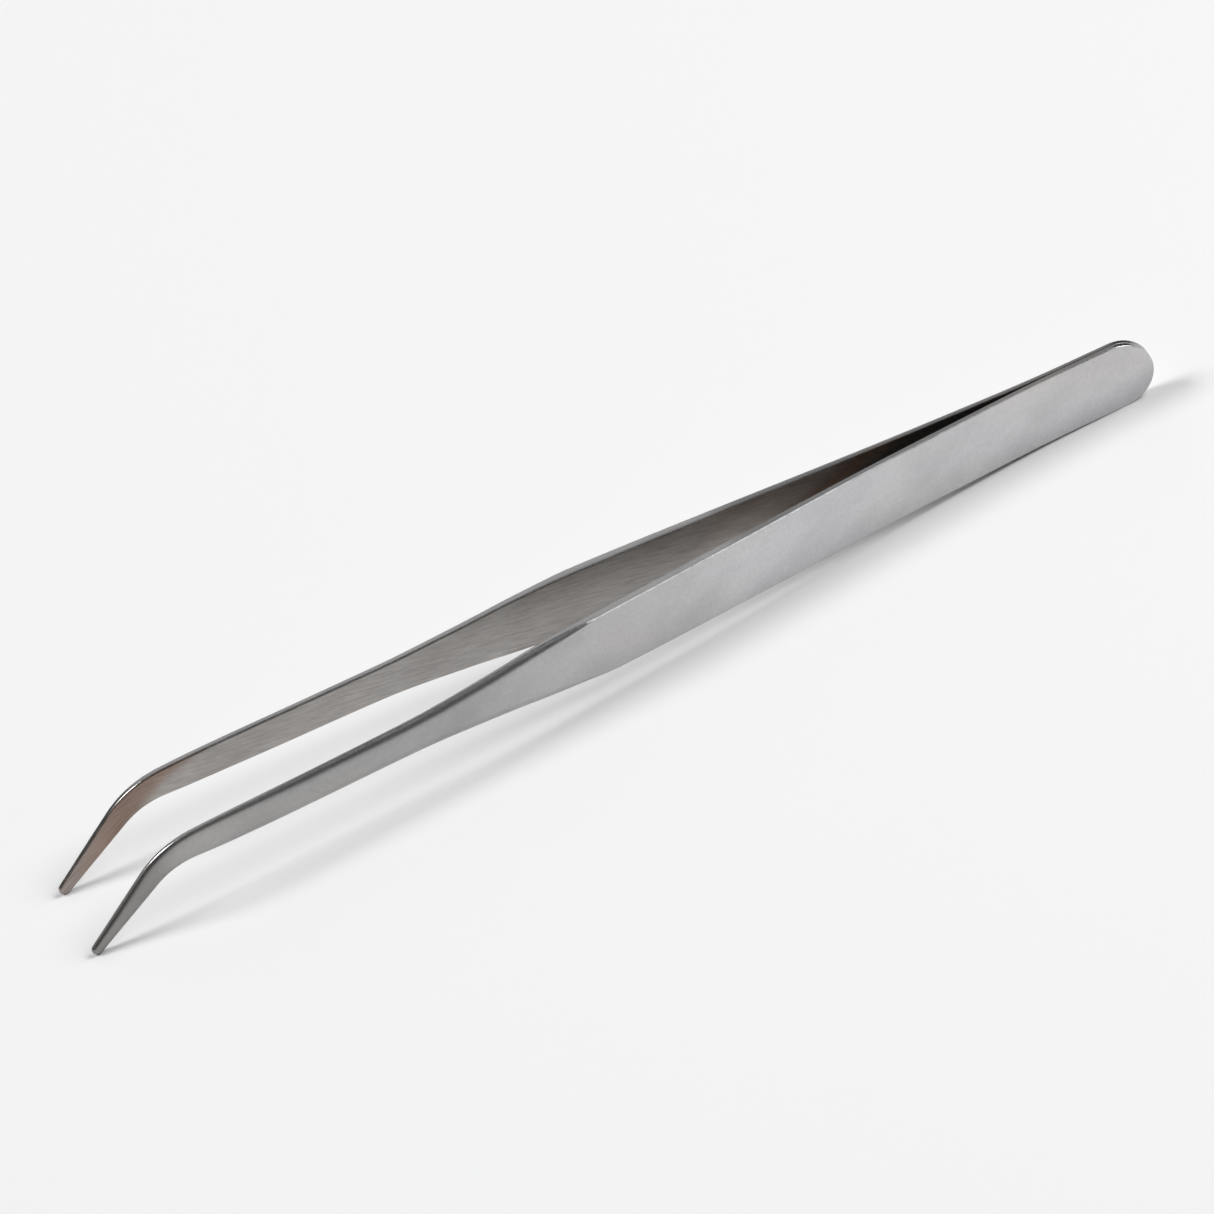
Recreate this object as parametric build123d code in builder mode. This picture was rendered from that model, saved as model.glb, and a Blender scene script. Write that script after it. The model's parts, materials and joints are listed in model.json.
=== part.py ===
from build123d import *
from math import asin, atan2, cos, hypot, radians, sin
import os

# Long bent-nose tweezers: two stamped strips of spring steel, welded flat against each other at a rounded
# heel, bowed apart along the handle, narrowed past the shoulders and bent in their own plane to blunt tips.
# They stand like a bridge on both tips and on the heel. +X points to the heel, +Z up, and the two blades are
# mirror images across Y = 0. The origin is at the bottom centre. All lengths are millimetres.

# Path of a blade, measured along its middle line from the end of the heel
heel_radius = 4.85
flexure = 30.0  # where the blade bends most when squeezed
saw_gap = 0.1  # clearance between the two rigid halves of a blade at its flexure
bend_start = 137.24
bend_radius = 12.0
bend_angle = 36.5
nose_length = 11.82  # straight part past the bend
tip_radius = 0.78

# Stations (distance along the blade, value)
half_widths = [(0, 4.85), (35, 4.85), (60, 4.72), (80, 4.56), (87, 4.17), (95, 3.33), (107, 2.5),
               (124, 2.36), (134, 2.18), (140, 1.86), (144.2, 1.6), (156.7, 0.78)]
centres = [(0, 0), (104, 0), (124, -0.15), (160, -0.15)]  # the neck and nose sit a little low
inner_faces = [(0, 0), (11, 0), (30, 0.83), (50, 2.22), (82, 4.47), (110, 5.83), (138.6, 6.35), (160, 6.35)]
thicknesses = [(0, 0.7), (11, 0.7), (20, 0.72), (40, 0.82), (60, 1.15), (82, 1.36), (96, 1.28),
               (138, 1.05), (158, 0.75)]
edge_heights = [(0, 0.68), (20, 0.7), (40, 0.8), (60, 1.12), (82, 1.32), (102, 0.8), (122, 0.6),
                (138, 0.42), (158, 0.32)]

# Spot welds
weld_places = {"rear_weld": 4.6, "front_weld": 9.4}
weld_radius = 1.5
weld_depth = 0.3  # into each blade

arm_stations = [40, 50, 60, 70, 78, 84, 90, 96, 102, 110, 120, 130]


def smooth(knots, at):
    """A curve through the knots that never overshoots them (monotone cubic)."""
    secants = [(b[1] - a[1]) / (b[0] - a[0]) for a, b in zip(knots, knots[1:])]
    slopes = [secants[0]]
    for left, right in zip(secants, secants[1:]):
        slopes.append(2 * left * right / (left + right) if left * right > 0 else 0)
    slopes.append(secants[-1])
    i = max(n for n in range(len(secants)) if n == 0 or knots[n][0] <= at)
    (x0, y0), (x1, y1) = knots[i], knots[i + 1]
    run = x1 - x0
    t = (at - x0) / run
    start = (1 + 2 * t) * (1 - t) ** 2 * y0 + t * (1 - t) ** 2 * run * slopes[i]
    end = t * t * (3 - 2 * t) * y1 + t * t * (t - 1) * run * slopes[i + 1]
    return start + end


# The handle's plane: local X towards the heel, local Y towards the far blade, local Z across the blades' width.
# It tips by a small angle, so that the heel and the tips reach the ground together.
turn = radians(bend_angle)
bend_arc = bend_radius * turn
nose_end = bend_start + bend_arc + nose_length
tip_centre = smooth(centres, nose_end)
tip_reach = bend_start + bend_radius * sin(turn) + nose_length * cos(turn) + tip_centre * sin(turn)
tip_drop = bend_radius * (1 - cos(turn)) + nose_length * sin(turn) - tip_centre * cos(turn)
span = tip_reach - heel_radius
tilt = asin((tip_radius - heel_radius) / hypot(span, tip_drop)) + atan2(tip_drop, span)
heel_x = (span * cos(tilt) + tip_drop * sin(tilt) + tip_radius - heel_radius) / 2 + heel_radius * cos(tilt)
heel_z = heel_radius * (1 - sin(tilt))
handle = Plane(origin=(heel_x, 0, heel_z), x_dir=(cos(tilt), 0, -sin(tilt)), z_dir=(sin(tilt), 0, cos(tilt)))


def placed(local):
    """The plane that lies in the handle's frame as the given one lies in the world's."""
    return Plane(handle.location * local.location)


def section_plane(at):
    """The plane across a blade at a distance along it: its x outwards, its y across the width."""
    angle = min(max(at - bend_start, 0), bend_arc) / bend_radius
    ahead = min(at, bend_start) + bend_radius * sin(angle)
    drop = bend_radius * (1 - cos(angle))
    past = max(at - bend_start - bend_arc, 0)
    middle = (-ahead - past * cos(angle), 0, -drop - past * sin(angle))
    return placed(Plane(origin=middle, x_dir=(0, 1, 0), z_dir=(cos(angle), 0, sin(angle))))


def blade_section(at, half_width):
    """Flat inside, two low edges and a crowned outside."""
    inside = smooth(inner_faces, at)
    edge = inside + smooth(edge_heights, at)
    crown = inside + smooth(thicknesses, at)
    centre = smooth(centres, at)
    low = centre - half_width
    high = centre + half_width
    with BuildSketch(section_plane(at)) as section:
        with BuildLine():
            Line((edge, low), (inside, low))
            Line((inside, low), (inside, high))
            Line((inside, high), (edge, high))
            ThreePointArc((edge, high), (crown, centre), (edge, low))
        make_face()
    return section.sketch


# The weld nuggets are bevelled discs across the seam. Each blade has the matching hollow.
welds = {}
for weld_name, place in weld_places.items():
    with BuildPart() as weld:
        with BuildSketch(placed(Plane(origin=(-place, 0, 0), x_dir=(1, 0, 0), z_dir=(0, -1, 0)))):
            Circle(weld_radius)
        extrude(amount=weld_depth, both=True)
        chamfer(weld.edges().filter_by(GeomType.CIRCLE), length=weld_depth * 0.8, length2=weld_depth)
    welds[weld_name] = weld

# The heel end of the far blade: the face outline cut to the strip's bowed thickness
with BuildPart() as far_heel:
    with BuildSketch(placed(Plane(origin=(0, 0, 0), x_dir=(1, 0, 0), z_dir=(0, -1, 0)))):
        with BuildLine():
            Line((-flexure, -heel_radius), (-heel_radius, -heel_radius))
            ThreePointArc((-heel_radius, -heel_radius), (0, 0), (-heel_radius, heel_radius))
            Line((-heel_radius, heel_radius), (-flexure, heel_radius))
            Line((-flexure, heel_radius), (-flexure, -heel_radius))
        make_face()
    extrude(amount=-3)
    bow_stations = [11, 16, 21, 26, flexure]
    inner_bow = [(-at, smooth(inner_faces, at)) for at in bow_stations]
    outer_bow = [(-at, smooth(inner_faces, at) + smooth(thicknesses, at)) for at in bow_stations]
    heel_thickness = smooth(thicknesses, 0)
    with BuildSketch(placed(Plane(origin=(0, 0, -heel_radius * 2), x_dir=(1, 0, 0), z_dir=(0, 0, 1)))):
        with BuildLine():
            Line((0, heel_thickness), (0, 0))
            Line((0, 0), inner_bow[0])
            Spline(*inner_bow)
            Line(inner_bow[-1], outer_bow[-1])
            Spline(*reversed(outer_bow))
            Line(outer_bow[0], (0, heel_thickness))
        make_face()
    extrude(amount=heel_radius * 4, mode=Mode.INTERSECT)
    for weld in welds.values():
        add(weld.part, mode=Mode.SUBTRACT)

# The far arm, from the flexure to the rounded tip
bend_stations = [bend_start + bend_arc * n / 4 for n in range(5)]
nose_stations = [bend_start + bend_arc + nose_length * n / 4 for n in range(1, 5)]
stations = [flexure + saw_gap] + arm_stations + bend_stations + nose_stations
sections = [blade_section(at, smooth(half_widths, at)) for at in stations]
for angle in (20, 40, 58, 74):
    past_end = nose_end + tip_radius * sin(radians(angle))
    sections.append(blade_section(past_end, tip_radius * cos(radians(angle))))
with BuildPart() as far_arm:
    loft(sections)

with BuildPart() as near_heel:
    mirror(far_heel.part, about=Plane.XZ)
with BuildPart() as near_arm:
    mirror(far_arm.part, about=Plane.XZ)

os.makedirs("parts", exist_ok=True)
pieces = {
    "far_blade_heel": far_heel,
    "far_blade_arm": far_arm,
    "near_blade_heel": near_heel,
    "near_blade_arm": near_arm,
    **welds,
}
for piece_name, piece in pieces.items():
    piece.part.label = piece_name
    export_step(piece.part, f"parts/{piece_name}.step")

# The squeeze axes, across the blade at the flexure, in the middle of its thickness
hinge = section_plane(flexure).origin
hinge_y = smooth(inner_faces, flexure) + smooth(thicknesses, flexure) / 2
print("squeeze axes at", hinge.X, hinge_y, hinge.Z, "along", sin(tilt), 0, cos(tilt))
for at in (20, 58, 84, 118):
    row = section_plane(at).origin
    print("middle line at", at, row.X, row.Z, "inner face", smooth(inner_faces, at))
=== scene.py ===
import json
from math import cos, pi, radians, sin

import bmesh
import bpy
from bpy.props import FloatProperty, FloatVectorProperty, PointerProperty
from bpy.types import Operator, Panel, PropertyGroup
from mathutils import Matrix, Vector


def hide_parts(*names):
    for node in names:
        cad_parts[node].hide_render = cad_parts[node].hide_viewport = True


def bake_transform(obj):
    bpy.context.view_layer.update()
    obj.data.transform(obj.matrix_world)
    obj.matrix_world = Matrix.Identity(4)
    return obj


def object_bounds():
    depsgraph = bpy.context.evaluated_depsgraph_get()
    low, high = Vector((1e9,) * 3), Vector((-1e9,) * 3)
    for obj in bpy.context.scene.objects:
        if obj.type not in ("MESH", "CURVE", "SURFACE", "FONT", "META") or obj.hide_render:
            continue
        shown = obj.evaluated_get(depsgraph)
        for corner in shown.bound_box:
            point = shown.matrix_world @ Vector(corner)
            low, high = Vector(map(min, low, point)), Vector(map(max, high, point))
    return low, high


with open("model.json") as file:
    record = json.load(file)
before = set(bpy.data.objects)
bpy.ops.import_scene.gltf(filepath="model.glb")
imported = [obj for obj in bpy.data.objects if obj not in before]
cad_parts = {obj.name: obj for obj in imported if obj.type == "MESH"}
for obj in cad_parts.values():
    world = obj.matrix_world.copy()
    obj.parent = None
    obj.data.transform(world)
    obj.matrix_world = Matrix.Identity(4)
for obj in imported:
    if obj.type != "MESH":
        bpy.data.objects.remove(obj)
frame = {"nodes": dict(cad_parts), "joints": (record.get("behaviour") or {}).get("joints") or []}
CAD_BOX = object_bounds()

bl_info = {
    "name": "Bent-nose tweezers",
    "version": (1, 0, 0),
    "blender": (4, 5, 0),
    "location": "3D View > Sidebar > Tweezers",
    "description": "Builds sprung steel tweezers with bent blunt tips over their packed model",
    "category": "Object",
}

MM = 0.001
BLADE_LENGTH = 160  # millimetres along the flat blank that the finishes and the painted light and shade are laid out over
HINGES = {joint["child"]: joint for joint in frame["joints"]}
# A blade's squeeze axis lies across its width, so it stands square to the tipped handle
TILT_AXIS = Vector(HINGES["far_arm"]["axis"])
SIDES = {"far_blade": 1, "near_blade": -1}

# Places along a blade in millimetres from the heel's end, each with a size in millimetres
HALF_WIDTHS = [(0, 4.85), (35, 4.85), (60, 4.715), (80, 4.53), (87, 4.15), (95, 3.33), (107, 2.5),
               (124, 2.36), (134, 2.18), (140, 1.86), (144.2, 1.6), (156.7, 0.78)]
CENTRES = [(0, 0), (104, 0), (124, -0.15), (160, -0.15)]
INNER_FACES = [(0, 0), (11, 0), (30, 0.83), (50, 2.22), (82, 4.47), (110, 5.83), (138.6, 6.35),
               (160, 6.35)]
THICKNESSES = [(0, 0.7), (11, 0.7), (20, 0.72), (40, 0.82), (60, 1.15), (82, 1.36), (96, 1.28),
               (138, 1.05), (152, 0.95), (158, 0.72)]
# How far the ground rounding of the outside reaches over the face, and how deep it goes
ROUND_REACHES = [(0, 0.13), (79, 0.13), (83, 0.7), (90, 1.3), (100, 1.6), (120, 1.75), (158, 1.5)]
ROUND_DEPTHS = [(0, 0.13), (79, 0.13), (83, 0.6), (90, 0.88), (100, 0.92), (120, 0.82), (130, 0.6),
                (138, 0.5), (145, 0.7), (152, 0.66), (158, 0.44)]
# Radius of the two edges of the inner face
INNER_ROUNDS = [(0, 0.06), (60, 0.08), (90, 0.16), (110, 0.2), (138, 0.22), (158, 0.22)]
# Stretch of the handle whose upper outer corner carries a painted highlight, a white matt strip
# standing in for a glint, and how far in that reaches
PAINTED_GLINT_SPAN = (30, 80.5)
PAINTED_GLINT_WIDTH = 0.2
# Gap from a rounding to the line of points beside it, which keeps the flat faces flat
SUPPORT = 0.1
# Points closer than this are one point
MERGE_GAP = 0.002

# Steps of the mesh in a quarter turn: round the heel, round the tip, over the inner and outer edges
HEEL_STEPS, TIP_STEPS, INNER_STEPS, OUTER_STEPS = 24, 10, 3, 8

# The material slots of a blade; the last one holds a painted highlight
OUTER, INNER, EDGE, PAINTED_GLINT_SLOT = range(4)

# Disc lamps over the stage: place in metres, diameter in metres and power in watts
LAMPS = {
    "left_key": ((-1.0, 0.45, 1.4), 0.8, 17),
    "right_key": ((1.25, -0.3, 1.25), 1.2, 27),
    "back_fill": ((0, 1.6, 1.0), 1.6, 3.0),
}


class BladeShape(PropertyGroup):
    heel_radius: FloatProperty(
        name="Heel radius", description="Radius of the rounded heel", default=4.85 * MM,
        unit="LENGTH", subtype="DISTANCE")
    bend_start: FloatProperty(
        name="Bend start", description="Length of blade from the heel's end to the nose's bend",
        default=137.24 * MM, unit="LENGTH", subtype="DISTANCE")
    bend_radius: FloatProperty(
        name="Bend radius", description="Radius of the bend along the middle of the blade",
        default=12 * MM, unit="LENGTH", subtype="DISTANCE")
    bend_angle: FloatProperty(
        name="Bend angle", description="Angle that the nose is bent down by", default=radians(36.5),
        unit="ROTATION", subtype="ANGLE")
    nose_length: FloatProperty(
        name="Nose length", description="Straight part of the nose past the bend",
        default=11.82 * MM, unit="LENGTH", subtype="DISTANCE")
    tip_radius: FloatProperty(
        name="Tip radius", description="Radius of the blunt tip", default=0.78 * MM,
        unit="LENGTH", subtype="DISTANCE")
    far_grind: FloatProperty(
        name="Far grind", default=0.45, min=0.1, max=1, subtype="FACTOR",
        description="Depth of the far blade's outer rounding against the near blade's")
    outer_crown: FloatProperty(
        name="Outer crown", description="How much the outer face stands proud in its middle",
        default=0.005 * MM, unit="LENGTH", subtype="DISTANCE")
    ring_spacing: FloatProperty(
        name="Ring spacing", description="Distance between the rings of the blade's mesh",
        default=0.8 * MM, unit="LENGTH", subtype="DISTANCE")
    flex_start: FloatProperty(
        name="Flex start", description="Where the blade starts to flex, in front of the welds",
        default=12 * MM, unit="LENGTH", subtype="DISTANCE")
    flex_end: FloatProperty(
        name="Flex end", description="Where the blade is stiff again, at the finger grip",
        default=62 * MM, unit="LENGTH", subtype="DISTANCE")


# Colours of the steel, some of them painted shade
class SteelFinishAndShade(PropertyGroup):
    outer_colour: FloatVectorProperty(
        name="Outer colour", description="Colour of the satin outer faces", subtype="COLOR", size=3,
        default=(0.655, 0.65, 0.655), min=0, max=1)
    # Front and nose colours are painted shade: the outer faces darken past the shoulders and on the
    # noses in place of their dimmer reflections there
    front_shade_colour: FloatVectorProperty(
        name="Front colour", description="Colour of the outer faces past the shoulders",
        subtype="COLOR", size=3, default=(0.44, 0.435, 0.43), min=0, max=1)
    nose_shade_colour: FloatVectorProperty(
        name="Nose colour", description="Colour of the noses' outer faces", subtype="COLOR", size=3,
        default=(0.3, 0.295, 0.29), min=0, max=1)
    inner_colour: FloatVectorProperty(
        name="Inner colour", description="Colour of the brushed inner faces",
        subtype="COLOR", size=3, default=(0.54, 0.522, 0.505), min=0, max=1)
    edge_colour: FloatVectorProperty(
        name="Edge colour", description="Colour of the ground edges", subtype="COLOR", size=3,
        default=(0.4, 0.396, 0.392), min=0, max=1)
    stain_colour: FloatVectorProperty(
        name="Stain colour", description="Warm tarnish inside the noses", subtype="COLOR", size=3,
        default=(0.385, 0.3, 0.255), min=0, max=1)
    outer_roughness: FloatProperty(
        name="Outer roughness", description="Roughness of the satin outer faces", default=0.34,
        min=0, max=1, subtype="FACTOR")
    edge_roughness: FloatProperty(
        name="Edge roughness", description="Roughness of the ground edges", default=0.22,
        min=0, max=1, subtype="FACTOR")
    inner_roughness: FloatProperty(
        name="Inner roughness", description="Roughness of the brushed inner faces", default=0.36,
        min=0, max=1, subtype="FACTOR")
    brush_slant: FloatProperty(
        name="Brush slant", description="Angle of the inner brush lines to the blade",
        default=radians(-9), unit="ROTATION", subtype="ANGLE")


class StageSettings(PropertyGroup):
    floor_size: FloatProperty(
        name="Floor size", description="Side of the square floor", default=6.0,
        unit="LENGTH", subtype="DISTANCE")
    floor_colour: FloatVectorProperty(
        name="Floor colour", description="Colour of the pale floor", subtype="COLOR", size=3,
        default=(0.86, 0.86, 0.86), min=0, max=1)
    camera_azimuth: FloatProperty(
        name="Camera azimuth", description="Turn of the camera about the handle",
        default=radians(-8.06), unit="ROTATION", subtype="ANGLE")
    camera_elevation: FloatProperty(
        name="Camera elevation", description="Height angle of the camera over the handle's side",
        default=radians(40.05), unit="ROTATION", subtype="ANGLE")
    camera_roll: FloatProperty(
        name="Camera roll", description="Turn of the camera about its own view",
        default=radians(-19.7), unit="ROTATION", subtype="ANGLE")
    camera_distance: FloatProperty(
        name="Camera distance", description="From the camera to its target", default=1.5,
        unit="LENGTH", subtype="DISTANCE")
    camera_target: FloatProperty(
        name="Camera target", description="Point looked at, along the handle from the heel's end",
        default=75 * MM, unit="LENGTH", subtype="DISTANCE")
    camera_shift: FloatVectorProperty(
        name="Camera shift", description="Slide of the camera across its own view", size=2,
        default=(-1.87 * MM, -0.28 * MM), unit="LENGTH", subtype="TRANSLATION")
    camera_lens: FloatProperty(
        name="Camera lens", description="Focal length in millimetres", default=350,
        unit="CAMERA")
    world_strength: FloatProperty(
        name="World strength", description="Brightness of the room", default=0.08, min=0)


def smooth(knots, at):
    """A curve through the knots that never overshoots them (monotone cubic)."""
    secants = [(b[1] - a[1]) / (b[0] - a[0]) for a, b in zip(knots, knots[1:])]
    slopes = [secants[0]]
    for left, right in zip(secants, secants[1:]):
        slopes.append(2 * left * right / (left + right) if left * right > 0 else 0)
    slopes.append(secants[-1])
    i = max(n for n in range(len(secants)) if n == 0 or knots[n][0] <= at)
    (x0, y0), (x1, y1) = knots[i], knots[i + 1]
    run = x1 - x0
    t = (at - x0) / run
    start = (1 + 2 * t) * (1 - t) ** 2 * y0 + t * (1 - t) ** 2 * run * slopes[i]
    end = t * t * (3 - 2 * t) * y1 + t * t * (t - 1) * run * slopes[i + 1]
    return start + end


def eased(knots, at, reach=3.0):
    """The curve's mean over a short stretch, in metres, so that its curvature has no steps."""
    at_mm = at / MM
    first, last = knots[0][0], knots[-1][0]
    spots = [min(max(at_mm + reach * step / 3, first), last) for step in range(-3, 4)]
    return sum(smooth(knots, spot) for spot in spots) / len(spots) * MM


def handle_matrix(shape):
    """From the handle's own frame (X to the heel's end, Y to the far blade, Z across the width)
    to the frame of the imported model."""
    up = TILT_AXIS.normalized()
    back = Vector((0, 1, 0)).cross(up)
    centre = Vector((CAD_BOX[1][0] - shape.heel_radius, 0, shape.heel_radius))
    origin = centre + back * shape.heel_radius
    axes = Matrix((back, (0, 1, 0), up)).transposed()
    return Matrix.Translation(origin) @ axes.to_4x4()


def nose_end(shape):
    return shape.bend_start + shape.bend_radius * shape.bend_angle + shape.nose_length


def round_depth(shape, side, at):
    """How deep the outer rounding goes. The far blade is ground less than the near one."""
    depth = eased(ROUND_DEPTHS, at, 1.0)
    unground = ROUND_DEPTHS[0][1] * MM
    share = shape.far_grind if side == SIDES["far_blade"] else 1
    return unground + (depth - unground) * share


def quarter_turn(steps):
    return [pi / 2 * step / steps for step in range(steps + 1)]


def half_profile(shape, side, at, half_width):
    """The upper half of the section, from the middle of the inner face to that of the outer."""
    inner = eased(INNER_ROUNDS, at)
    support = SUPPORT * MM
    reach = min(eased(ROUND_REACHES, at, 1.0), half_width * 0.8)
    depth = round_depth(shape, side, at)
    thickness = eased(THICKNESSES, at)
    wall = thickness - depth
    inner_flat = max(half_width - inner - support, half_width * 0.6)
    outer_flat = max(half_width - reach - support, (half_width - reach) * 0.7)
    points = [(0, 0), (inner_flat / 2, 0), (inner_flat, 0)]
    for turn in quarter_turn(INNER_STEPS):
        points.append((half_width - inner + inner * sin(turn), inner * (1 - cos(turn))))
    for turn in quarter_turn(OUTER_STEPS):
        points.append((half_width - reach + reach * cos(turn), wall + depth * sin(turn)))
    crown = shape.outer_crown * (1 - (outer_flat / half_width) ** 2)
    points.append((outer_flat, thickness + crown))
    points.append((outer_flat / 2, thickness + shape.outer_crown * 0.75))
    points.append((0, thickness + shape.outer_crown))
    return points


def section_ring(shape, side, at, half_width):
    upper = half_profile(shape, side, at, half_width)
    lower = [(-lateral, depth) for lateral, depth in reversed(upper[1:-1])]
    return upper + lower


def blank_rings(shape, side):
    """The rings of the flat blank from the heel's end to the tip: (along, across, depth) points.
    The first and last rings are folded flat round the heel and the tip."""
    rings = []
    heel = section_ring(shape, side, shape.heel_radius, shape.heel_radius)
    for turn in quarter_turn(HEEL_STEPS)[:-1]:
        rings.append([(shape.heel_radius - abs(w) * cos(turn), w * sin(turn), d) for w, d in heel])
    end = nose_end(shape)
    count = round((end - shape.heel_radius) / shape.ring_spacing)
    for step in range(count):
        at = shape.heel_radius + (end - shape.heel_radius) * step / count
        half_width = eased(HALF_WIDTHS, at, reach=1.5)
        rings.append([(at, w, d) for w, d in section_ring(shape, side, at, half_width)])
    tip = section_ring(shape, side, end, shape.tip_radius)
    for turn in reversed(quarter_turn(TIP_STEPS)):
        rings.append([(end + abs(w) * cos(turn), w * sin(turn), d) for w, d in tip])
    return rings


def formed(shape, side, flat):
    """Where a point of the flat blank goes when the blade is bowed and its nose is bent."""
    along, across, depth = flat
    arc = shape.bend_radius * shape.bend_angle
    turn = min(max(along - shape.bend_start, 0), arc) / shape.bend_radius
    past = max(along - shape.bend_start - arc, 0)
    ahead = min(along, shape.bend_start) + shape.bend_radius * sin(turn) + past * cos(turn)
    drop = shape.bend_radius * (1 - cos(turn)) + past * sin(turn)
    inside = eased(INNER_FACES, max(along, 0))
    across += eased(CENTRES, along)
    back = -ahead - across * sin(turn)
    up = -drop + across * cos(turn)
    return Vector((back, side * (inside + depth), up))


def extruded_tube(bm, rings):
    """Extrudes a circle of edges ring by ring, each ring moved to its place."""
    flat_place = bm.verts.layers.float_vector.new("strip")
    circle = bmesh.ops.create_circle(bm, segments=len(rings[0]), radius=1)["verts"]
    for vert, place in zip(circle, rings[0]):
        vert.co = place
        vert[flat_place] = place
    for ring in rings[1:]:
        members = set(circle)
        edges = [e for v in circle for e in v.link_edges if e.other_vert(v) in members]
        grown = bmesh.ops.extrude_edge_only(bm, edges=list(dict.fromkeys(edges)))["geom"]
        fresh = {g for g in grown if isinstance(g, bmesh.types.BMVert)}
        circle = [next(e.other_vert(v) for e in v.link_edges if e.other_vert(v) in fresh)
                  for v in circle]
        for vert, place in zip(circle, ring):
            vert.co = place
            vert[flat_place] = place
    return flat_place


def finish_slot(shape, side, places):
    """The material slot of a face of the flat blank."""
    depths = [place.z for place in places]
    along = sum(place.x for place in places) / len(places)
    wall_end = eased(THICKNESSES, along) - round_depth(shape, side, along)
    if max(depths) <= eased(INNER_ROUNDS, along) * 0.6:
        return INNER
    if min(depths) < wall_end - 0.01 * MM:
        return EDGE
    # Faces along the upper outer corner of the handle get the painted highlight
    corner = eased(HALF_WIDTHS, along) - PAINTED_GLINT_WIDTH * MM
    if PAINTED_GLINT_SPAN[0] * MM < along < PAINTED_GLINT_SPAN[1] * MM and min(place.y for place in places) > corner:
        return PAINTED_GLINT_SLOT
    return OUTER


def blade_mesh(shape, name, side):
    bm = bmesh.new()
    flat_place = extruded_tube(bm, blank_rings(shape, side))
    bmesh.ops.remove_doubles(bm, verts=bm.verts, dist=MERGE_GAP * MM)  # closes both ends
    for face in bm.faces:
        places = [v[flat_place] for v in face.verts]
        face.material_index = finish_slot(shape, side, places)
        face.smooth = True
    handle = handle_matrix(shape)
    for vert in bm.verts:
        vert.co = handle @ formed(shape, side, vert[flat_place])
    bmesh.ops.recalc_face_normals(bm, faces=bm.faces)
    mesh = bpy.data.meshes.new(name)
    bm.to_mesh(mesh)
    bm.free()
    return mesh


def link(piece):
    bpy.context.scene.collection.objects.link(piece)
    return piece


def new_nodes(name):
    material = bpy.data.materials.new(name)
    material.use_nodes = True
    return material, material.node_tree.nodes, material.node_tree.links


def strip_noise(nodes, links, scale, detail, slant=0.0, roughness=0.55):
    """Noise laid along the blade: scale is in features a metre along, across and through it."""
    place = nodes.new("ShaderNodeAttribute")
    place.attribute_name = "strip"
    turned = nodes.new("ShaderNodeMapping")
    turned.inputs["Rotation"].default_value = (0, 0, slant)
    stretched = nodes.new("ShaderNodeMapping")
    stretched.inputs["Scale"].default_value = scale
    noise = nodes.new("ShaderNodeTexNoise")
    noise.inputs["Scale"].default_value = 1
    noise.inputs["Detail"].default_value = detail
    noise.inputs["Roughness"].default_value = roughness
    links.new(place.outputs["Vector"], turned.inputs["Vector"])
    links.new(turned.outputs["Vector"], stretched.inputs["Vector"])
    links.new(stretched.outputs["Vector"], noise.inputs["Vector"])
    return noise.outputs["Fac"]


def ranged(nodes, links, value, low, high, to_low, to_high, easing="LINEAR"):
    fit = nodes.new("ShaderNodeMapRange")
    fit.interpolation_type = easing
    fit.inputs["From Min"].default_value = low
    fit.inputs["From Max"].default_value = high
    fit.inputs["To Min"].default_value = to_low
    fit.inputs["To Max"].default_value = to_high
    links.new(value, fit.inputs["Value"])
    return fit.outputs["Result"]


def mixed(nodes, links, share, first, second, mode="MIX"):
    mix = nodes.new("ShaderNodeMix")
    mix.data_type = "RGBA"
    mix.blend_type = mode
    # The node also has hidden sockets for numbers and vectors, so the colour ones go by number
    factor = mix.inputs[0]
    sockets = {"A": mix.inputs[6], "B": mix.inputs[7]}
    if isinstance(share, (int, float)):
        factor.default_value = share
    else:
        links.new(share, factor)
    for key, value in (("A", first), ("B", second)):
        if isinstance(value, tuple):
            sockets[key].default_value = (*value, 1)
        else:
            links.new(value, sockets[key])
    return mix.outputs[2]


def toned(colour, factor):
    return tuple(channel * factor for channel in colour)


def halfway(first, second):
    return tuple((a + b) / 2 for a, b in zip(first, second))


def along_blade(nodes, links, tones, skew=0.0):
    """A colour that changes along the blade: (millimetres from the heel's end, colour) pairs.
    Skew leans the borders, as a share of the distance across the blade."""
    place = nodes.new("ShaderNodeAttribute")
    place.attribute_name = "strip"
    lean = nodes.new("ShaderNodeVectorMath")
    lean.operation = "DOT_PRODUCT"
    lean.inputs[1].default_value = (1, skew, 0)
    links.new(place.outputs["Vector"], lean.inputs[0])
    share = ranged(nodes, links, lean.outputs["Value"], 0, BLADE_LENGTH * MM, 0, 1)
    ramp = nodes.new("ShaderNodeValToRGB")
    ramp.color_ramp.interpolation = "EASE"
    stops = ramp.color_ramp.elements
    while len(stops) < len(tones):
        stops.new(1.0)
    for stop, (at, colour) in zip(stops, tones):
        stop.position = at / BLADE_LENGTH
        stop.color = (*colour, 1)
    links.new(share, ramp.inputs["Fac"])
    return ramp.outputs["Color"]


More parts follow.
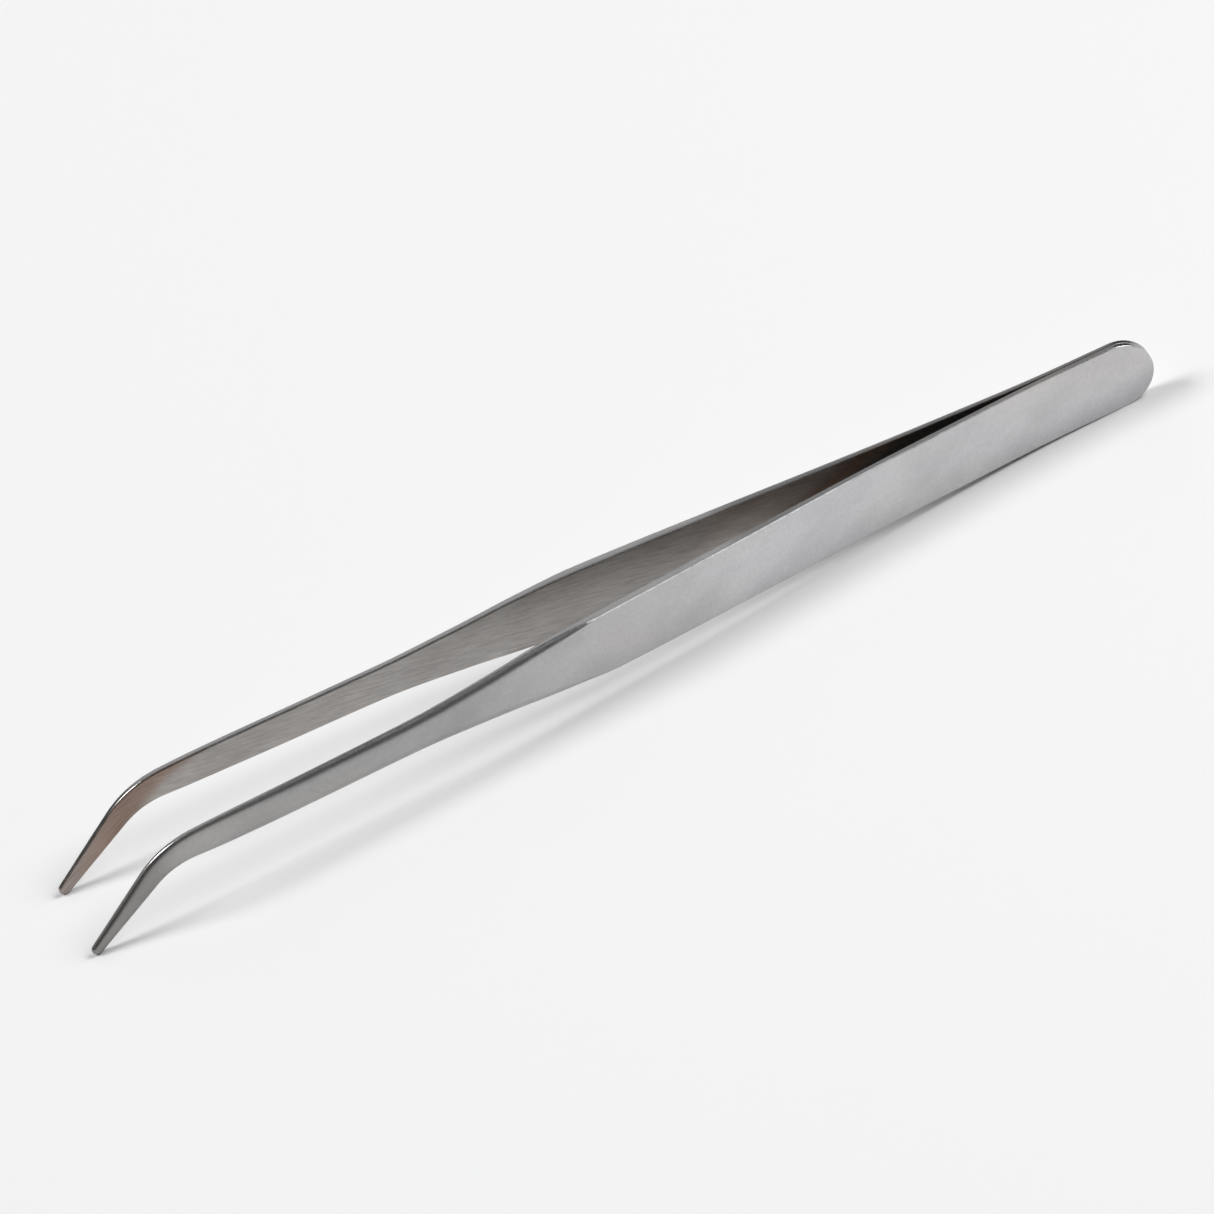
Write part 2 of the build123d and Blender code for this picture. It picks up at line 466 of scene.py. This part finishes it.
def grained_steel(name, tones, roughness, grain, fine, depth, contrast, clouding,
                  cloud=(0.6, 0.6, 0.61), slant=0.0, skew=0.0, metallic=1.0):
    """Ground spring steel: a grain, finer scratches, and soft clouds where it was polished by hand.
    Grain and fine are in features a metre along, across and through the blade."""
    material, nodes, links = new_nodes(name)
    shader = nodes["Principled BSDF"]
    shader.inputs["Metallic"].default_value = metallic
    lines = strip_noise(nodes, links, grain, 4, slant, 0.6)
    scratches = strip_noise(nodes, links, fine, 2, slant * 1.4)
    clouds = strip_noise(nodes, links, (75, 150, 120), 3, 0.3, 0.6)
    line_share = ranged(nodes, links, lines, 0.3, 0.7, 0, 1)
    line_tone = mixed(nodes, links, line_share, (1 - contrast,) * 3, (1.0, 1.0, 1.0))
    scratch_share = ranged(nodes, links, scratches, 0.35, 0.65, 0, 1)
    scratch_tone = mixed(nodes, links, scratch_share, (1 - contrast / 2,) * 3, (1.0, 1.0, 1.0))
    # The tones along the blade hold painted light and shade as well as the steel's own colour
    tone = mixed(nodes, links, 1.0, along_blade(nodes, links, tones, skew), line_tone, "MULTIPLY")
    tone = mixed(nodes, links, 1.0, tone, scratch_tone, "MULTIPLY")
    cloud_share = ranged(nodes, links, clouds, 0.38, 0.66, 0, clouding)
    tone = mixed(nodes, links, cloud_share, tone, cloud, "MULTIPLY")
    hue = strip_noise(nodes, links, (28, 90, 90), 2, -0.2)
    hue_share = ranged(nodes, links, hue, 0.35, 0.65, 0, 1)
    hue_tone = mixed(nodes, links, hue_share, (1.0, 0.98, 0.965), (0.98, 0.985, 1.0))
    tone = mixed(nodes, links, 1.0, tone, hue_tone, "MULTIPLY")
    links.new(tone, shader.inputs["Base Color"])
    rough = ranged(nodes, links, scratches, 0.3, 0.7, roughness - 0.04, roughness + 0.08)
    links.new(rough, shader.inputs["Roughness"])
    heights = nodes.new("ShaderNodeMath")
    heights.operation = "ADD"
    links.new(lines, heights.inputs[0])
    links.new(scratches, heights.inputs[1])
    bump = nodes.new("ShaderNodeBump")
    bump.inputs["Strength"].default_value = 0.5
    bump.inputs["Distance"].default_value = depth
    links.new(heights.outputs[0], bump.inputs["Height"])
    links.new(bump.outputs["Normal"], shader.inputs["Normal"])
    return material


def blade_steels(finish):
    """The four finishes of a blade, in the order of its material slots, with painted light and
    shade in their tones along the blade.
    """
    outer = tuple(finish.outer_colour)
    front = tuple(finish.front_shade_colour)
    nose = tuple(finish.nose_shade_colour)
    shoulder_shade = halfway(outer, front)
    inner = tuple(finish.inner_colour)
    stain = tuple(finish.stain_colour)
    # Painted shade and light on the inner faces: darker 30 to 43 mm from the heel's end, lighter at
    # 56 mm
    deep = toned(inner, 0.7)
    painted_light_inner = toned(inner, 1.35)
    warm = (0.6, 0.45, 0.36)
    faded = toned(halfway(stain, inner), 0.9)
    edge = tuple(finish.edge_colour)
    # Painted light: the ground edges are made lighter from the shoulders to the noses in place of
    # the light they reflect there
    lit_shoulder_edge = toned(edge, 1.6)
    lit = toned(edge, 1.5)
    # White of the painted highlight on the handle's upper corner
    glint_white = (1.0, 1.0, 1.0)
    return (
        grained_steel(
            "satin_outer_steel",
            # Painted shade: the outer face darkens from the shoulder to the nose in place of its
            # dimmer reflections
            [(0, outer), (58, outer), (80, shoulder_shade), (105, front), (138, front), (148, nose)],
            roughness=finish.outer_roughness, grain=(2300, 1900, 2000), fine=(5200, 5200, 4000),
            depth=0.003 * MM, contrast=0.1, clouding=0.3),
        grained_steel(
            "brushed_inner_steel",
            # Inner tones: painted shade near the heel and painted light past it, then the tarnish
            # in the noses
            [(0, inner), (30, deep), (43, deep), (49, warm), (56, painted_light_inner), (68, inner),
             (134, inner), (141, stain), (147, stain), (157, faded)],
            roughness=finish.inner_roughness, grain=(260, 3000, 2000), fine=(900, 8000, 5000),
            depth=0.014 * MM, contrast=0.3, clouding=0.5, cloud=(0.76, 0.7, 0.67),
            slant=finish.brush_slant, skew=2.5),
        grained_steel(
            "ground_edge_steel",
            # Edge tones with painted light from the shoulders to the noses
            [(0, edge), (55, edge), (64, lit_shoulder_edge), (84, lit_shoulder_edge), (96, lit), (136, lit),
             (145, edge)],
            roughness=finish.edge_roughness, grain=(160, 2600, 2600), fine=(700, 5000, 5000),
            depth=0.003 * MM, contrast=0.12, clouding=0.3),
        # A painted highlight: a nearly white, barely metallic strip on the corner stands in for a
        # glint
        grained_steel(
            "painted_glint_steel", [(30, edge), (50, glint_white)],
            roughness=0.6, grain=(900, 900, 900), fine=(2500, 2500, 2500),
            depth=0.004 * MM, contrast=0.4, clouding=0.3, metallic=0.1),
    )


def weld_steel(name):
    """Fused steel: matt, mottled and slightly blue-brown where the heat spread."""
    material, nodes, links = new_nodes(name)
    shader = nodes["Principled BSDF"]
    shader.inputs["Metallic"].default_value = 1.0
    place = nodes.new("ShaderNodeTexCoord")
    noise = nodes.new("ShaderNodeTexNoise")
    noise.inputs["Scale"].default_value = 1800
    links.new(place.outputs["Object"], noise.inputs["Vector"])
    tone = mixed(nodes, links, noise.outputs["Fac"], (0.36, 0.35, 0.37), (0.5, 0.45, 0.4))
    links.new(tone, shader.inputs["Base Color"])
    rough = ranged(nodes, links, noise.outputs["Fac"], 0.3, 0.7, 0.45, 0.65)
    links.new(rough, shader.inputs["Roughness"])
    return material


class TWEEZERS_OT_blades(Operator):
    """Make the two mirror-twin blades, each one springy strip from heel to tip"""
    bl_idname = "tweezers.blades"
    bl_label = "Blades"

    def execute(self, context):
        shape = context.scene.tweezers_shape
        finish = context.scene.tweezers_finish
        steels = blade_steels(finish)
        for name, side in SIDES.items():
            mesh = blade_mesh(shape, name, side)
            for steel in steels:
                mesh.materials.append(steel)
            blade = link(bpy.data.objects.new(name, mesh))
            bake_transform(blade)
            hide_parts(f"{name}_heel", f"{name}_arm")
        return {"FINISHED"}


class TWEEZERS_OT_welds(Operator):
    """Give the two spot welds inside the heel their fused steel"""
    bl_idname = "tweezers.welds"
    bl_label = "Welds"

    def execute(self, context):
        steel = weld_steel("fused_weld_steel")
        for name in ("rear_weld", "front_weld"):
            weld = frame["nodes"][name]
            weld.data.materials.clear()
            weld.data.materials.append(steel)
        return {"FINISHED"}


class TWEEZERS_OT_stage(Operator):
    """Lay the pale floor, light it softly and set the camera"""
    bl_idname = "tweezers.stage"
    bl_label = "Stage"

    def execute(self, context):
        stage = context.scene.tweezers_stage
        self.floor(stage)
        self.world(context, stage)
        for name, (place, size, power) in LAMPS.items():
            self.lamp(name, place, size, power)
        self.camera(context, stage)
        context.scene.view_settings.view_transform = "Standard"
        return {"FINISHED"}

    def floor(self, stage):
        bm = bmesh.new()
        bmesh.ops.create_grid(bm, x_segments=2, y_segments=2, size=stage.floor_size / 2)
        mesh = bpy.data.meshes.new("floor")
        bm.to_mesh(mesh)
        bm.free()
        material, nodes, links = new_nodes("pale_floor")
        shader = nodes["Principled BSDF"]
        shader.inputs["Base Color"].default_value = (*stage.floor_colour, 1)
        shader.inputs["Roughness"].default_value = 0.9
        mesh.materials.append(material)
        floor = link(bpy.data.objects.new("floor", mesh))

    def world(self, context, stage):
        world = bpy.data.worlds.new("room")
        world.use_nodes = True
        background = world.node_tree.nodes["Background"]
        background.inputs["Color"].default_value = (0.95, 0.97, 1.0, 1)
        background.inputs["Strength"].default_value = stage.world_strength
        context.scene.world = world

    def lamp(self, name, place, size, power):
        light = bpy.data.lights.new(name, "AREA")
        light.shape = "DISK"
        light.size = size
        light.energy = power
        lamp = link(bpy.data.objects.new(name, light))
        lamp.location = place
        lamp.rotation_euler = (-Vector(place)).to_track_quat("-Z", "Y").to_euler()

    def camera(self, context, stage):
        shape = context.scene.tweezers_shape
        swung = Matrix.Rotation(stage.camera_azimuth, 4, "Z")
        raised = swung @ Matrix.Rotation(pi / 2 - stage.camera_elevation, 4, "X")
        turned = raised @ Matrix.Rotation(stage.camera_roll, 4, "Z")
        middle = Vector((-stage.camera_target, 0, 0))
        place = middle + turned.to_3x3() @ Vector((*stage.camera_shift, stage.camera_distance))
        lens = bpy.data.cameras.new("camera")
        lens.lens = stage.camera_lens
        lens.sensor_width = 36
        lens.clip_start = 0.01
        lens.clip_end = 50
        camera = link(bpy.data.objects.new("camera", lens))
        camera.matrix_world = handle_matrix(shape) @ Matrix.Translation(place) @ turned
        context.scene.camera = camera


class TWEEZERS_PT_panel(Panel):
    """Lists the tweezers' pieces and their sizes"""
    bl_idname = "TWEEZERS_PT_panel"
    bl_label = "Tweezers"
    bl_space_type = "VIEW_3D"
    bl_region_type = "UI"
    bl_category = "Tweezers"

    def draw(self, context):
        layout = self.layout
        for operator in OPERATORS:
            layout.operator(operator.bl_idname)
        for name in GROUPS:
            group = getattr(context.scene, name)
            box = layout.box()
            for key in group.bl_rna.properties.keys():
                if key not in ("rna_type", "name"):
                    box.prop(group, key)


GROUPS = {
    "tweezers_shape": BladeShape,
    "tweezers_finish": SteelFinishAndShade,
    "tweezers_stage": StageSettings,
}
OPERATORS = (TWEEZERS_OT_blades, TWEEZERS_OT_welds, TWEEZERS_OT_stage)
CLASSES = (*GROUPS.values(), *OPERATORS, TWEEZERS_PT_panel)


def register():
    for cls in CLASSES:
        bpy.utils.register_class(cls)
    for name, group in GROUPS.items():
        setattr(bpy.types.Scene, name, PointerProperty(type=group))


def unregister():
    for name in GROUPS:
        delattr(bpy.types.Scene, name)
    for cls in reversed(CLASSES):
        bpy.utils.unregister_class(cls)


def main():
    register()
    bpy.ops.tweezers.blades()
    bpy.ops.tweezers.welds()
    bpy.ops.tweezers.stage()


if __name__ == "__main__":
    main()
